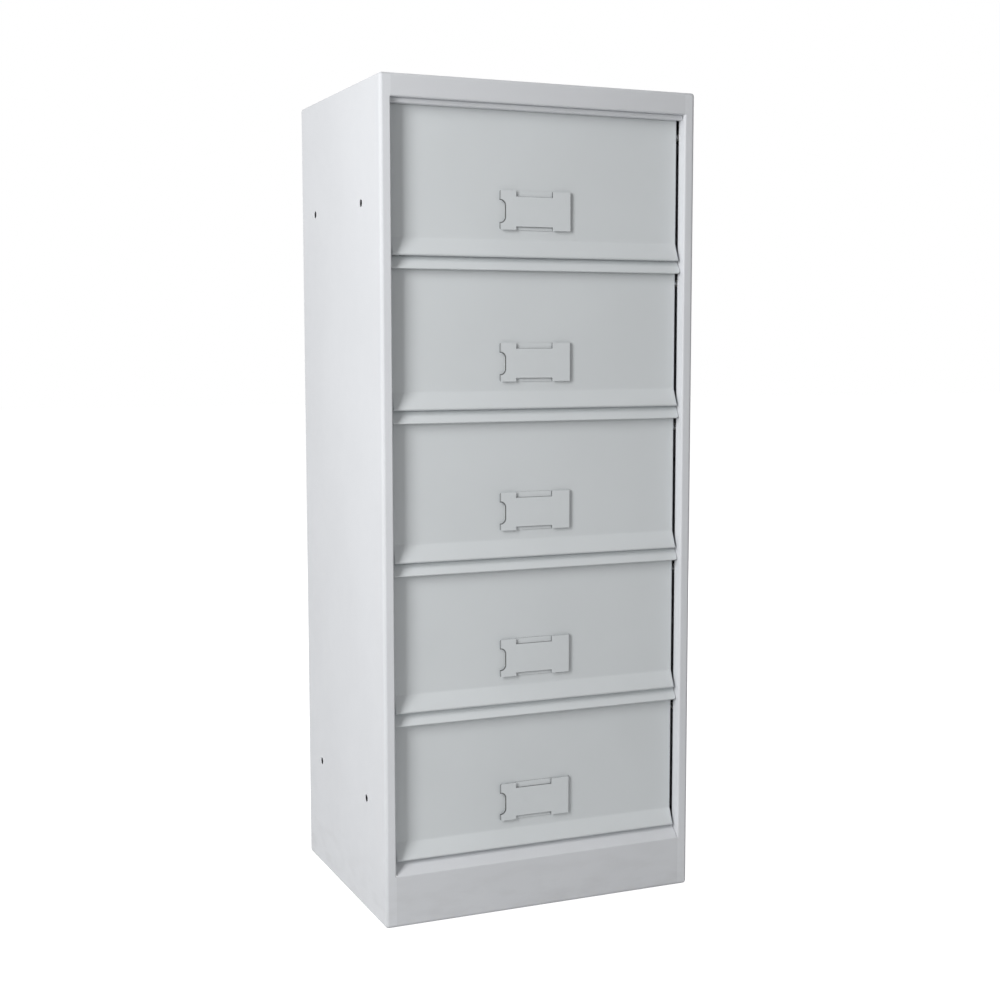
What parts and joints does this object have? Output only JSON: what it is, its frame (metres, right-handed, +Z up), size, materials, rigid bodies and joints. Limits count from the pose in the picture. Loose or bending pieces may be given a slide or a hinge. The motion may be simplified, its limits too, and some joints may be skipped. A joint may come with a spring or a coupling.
{
  "type": "flap door cabinet",
  "caption": "Tall sheet-steel filing cabinet whose stacked compartments are closed by lift-up flaps that slide back under the shelves, each with a label holder.",
  "frame": {"origin": "middle of the footprint, on the floor under the plinth", "axes": "+Z up, +Y towards the back panel so that the flaps face -Y, +X to the right as seen from the front"},
  "size_m": [0.54, 0.42, 1.32],
  "materials": {
    "carcass_enamel": "stoved light grey enamel, satin",
    "flap_enamel": "stoved light grey enamel, satin",
    "zinc_plate": "zinc plated",
    "nylon": "natural nylon",
    "card": "matt paper card",
    "buffer_rubber": "matt black"
  },
  "bodies": {
    "carcass": {"left_side_panel": "carcass_enamel", "right_side_panel": "carcass_enamel", "top_panel": "carcass_enamel", "header_rail": "carcass_enamel", "base_pan": "carcass_enamel", "back_panel": "carcass_enamel", "rear_base_rail": "carcass_enamel", "shelf_1": "carcass_enamel", "shelf_flanges_1": "carcass_enamel", "front_rail_1": "flap_enamel", "shelf_2": "carcass_enamel", "shelf_flanges_2": "carcass_enamel", "front_rail_2": "flap_enamel", "shelf_3": "carcass_enamel", "shelf_flanges_3": "carcass_enamel", "front_rail_3": "flap_enamel", "shelf_4": "carcass_enamel", "shelf_flanges_4": "carcass_enamel", "front_rail_4": "flap_enamel", "guide_left_1": "zinc_plate", "guide_right_1": "zinc_plate", "buffers_1": "buffer_rubber", "guide_left_2": "zinc_plate", "guide_right_2": "zinc_plate", "buffers_2": "buffer_rubber", "guide_left_3": "zinc_plate", "guide_right_3": "zinc_plate", "buffers_3": "buffer_rubber", "guide_left_4": "zinc_plate", "guide_right_4": "zinc_plate", "buffers_4": "buffer_rubber", "guide_left_5": "zinc_plate", "guide_right_5": "zinc_plate", "buffers_5": "buffer_rubber"},
    "slider_1": {"glides_1": "nylon"},
    "flap_unit_1": {"flap_1": "flap_enamel", "pivot_pins_1": "zinc_plate", "label_holder_1": "flap_enamel", "label_card_1": "card"},
    "slider_2": {"glides_2": "nylon"},
    "flap_unit_2": {"flap_2": "flap_enamel", "pivot_pins_2": "zinc_plate", "label_holder_2": "flap_enamel", "label_card_2": "card"},
    "slider_3": {"glides_3": "nylon"},
    "flap_unit_3": {"flap_3": "flap_enamel", "pivot_pins_3": "zinc_plate", "label_holder_3": "flap_enamel", "label_card_3": "card"},
    "slider_4": {"glides_4": "nylon"},
    "flap_unit_4": {"flap_4": "flap_enamel", "pivot_pins_4": "zinc_plate", "label_holder_4": "flap_enamel", "label_card_4": "card"},
    "slider_5": {"glides_5": "nylon"},
    "flap_unit_5": {"flap_5": "flap_enamel", "pivot_pins_5": "zinc_plate", "label_holder_5": "flap_enamel", "label_card_5": "card"}
  },
  "joints": [
    {"name": "slide_1", "type": "slide", "parent": "carcass", "child": "slider_1", "axis": [0, 1, 0], "range_m": [0, 0.15]},
    {"name": "tilt_1", "type": "hinge", "parent": "slider_1", "child": "flap_unit_1", "pos_m": [0, -0.182, 1.252], "axis": [-1, 0, 0], "range_deg": [0, 90]},
    {"name": "slide_2", "type": "slide", "parent": "carcass", "child": "slider_2", "axis": [0, 1, 0], "range_m": [0, 0.15]},
    {"name": "tilt_2", "type": "hinge", "parent": "slider_2", "child": "flap_unit_2", "pos_m": [0, -0.182, 1.015], "axis": [-1, 0, 0], "range_deg": [0, 90]},
    {"name": "slide_3", "type": "slide", "parent": "carcass", "child": "slider_3", "axis": [0, 1, 0], "range_m": [0, 0.15]},
    {"name": "tilt_3", "type": "hinge", "parent": "slider_3", "child": "flap_unit_3", "pos_m": [0, -0.182, 0.778], "axis": [-1, 0, 0], "range_deg": [0, 90]},
    {"name": "slide_4", "type": "slide", "parent": "carcass", "child": "slider_4", "axis": [0, 1, 0], "range_m": [0, 0.15]},
    {"name": "tilt_4", "type": "hinge", "parent": "slider_4", "child": "flap_unit_4", "pos_m": [0, -0.182, 0.541], "axis": [-1, 0, 0], "range_deg": [0, 90]},
    {"name": "slide_5", "type": "slide", "parent": "carcass", "child": "slider_5", "axis": [0, 1, 0], "range_m": [0, 0.15]},
    {"name": "tilt_5", "type": "hinge", "parent": "slider_5", "child": "flap_unit_5", "pos_m": [0, -0.182, 0.304], "axis": [-1, 0, 0], "range_deg": [0, 90]}
  ],
  "couplings": [
    {"joint": "slide_1", "follows": "tilt_1", "m_per_rad": 0.09549},
    {"joint": "slide_2", "follows": "tilt_2", "m_per_rad": 0.09549},
    {"joint": "slide_3", "follows": "tilt_3", "m_per_rad": 0.09549},
    {"joint": "slide_4", "follows": "tilt_4", "m_per_rad": 0.09549},
    {"joint": "slide_5", "follows": "tilt_5", "m_per_rad": 0.09549}
  ]
}
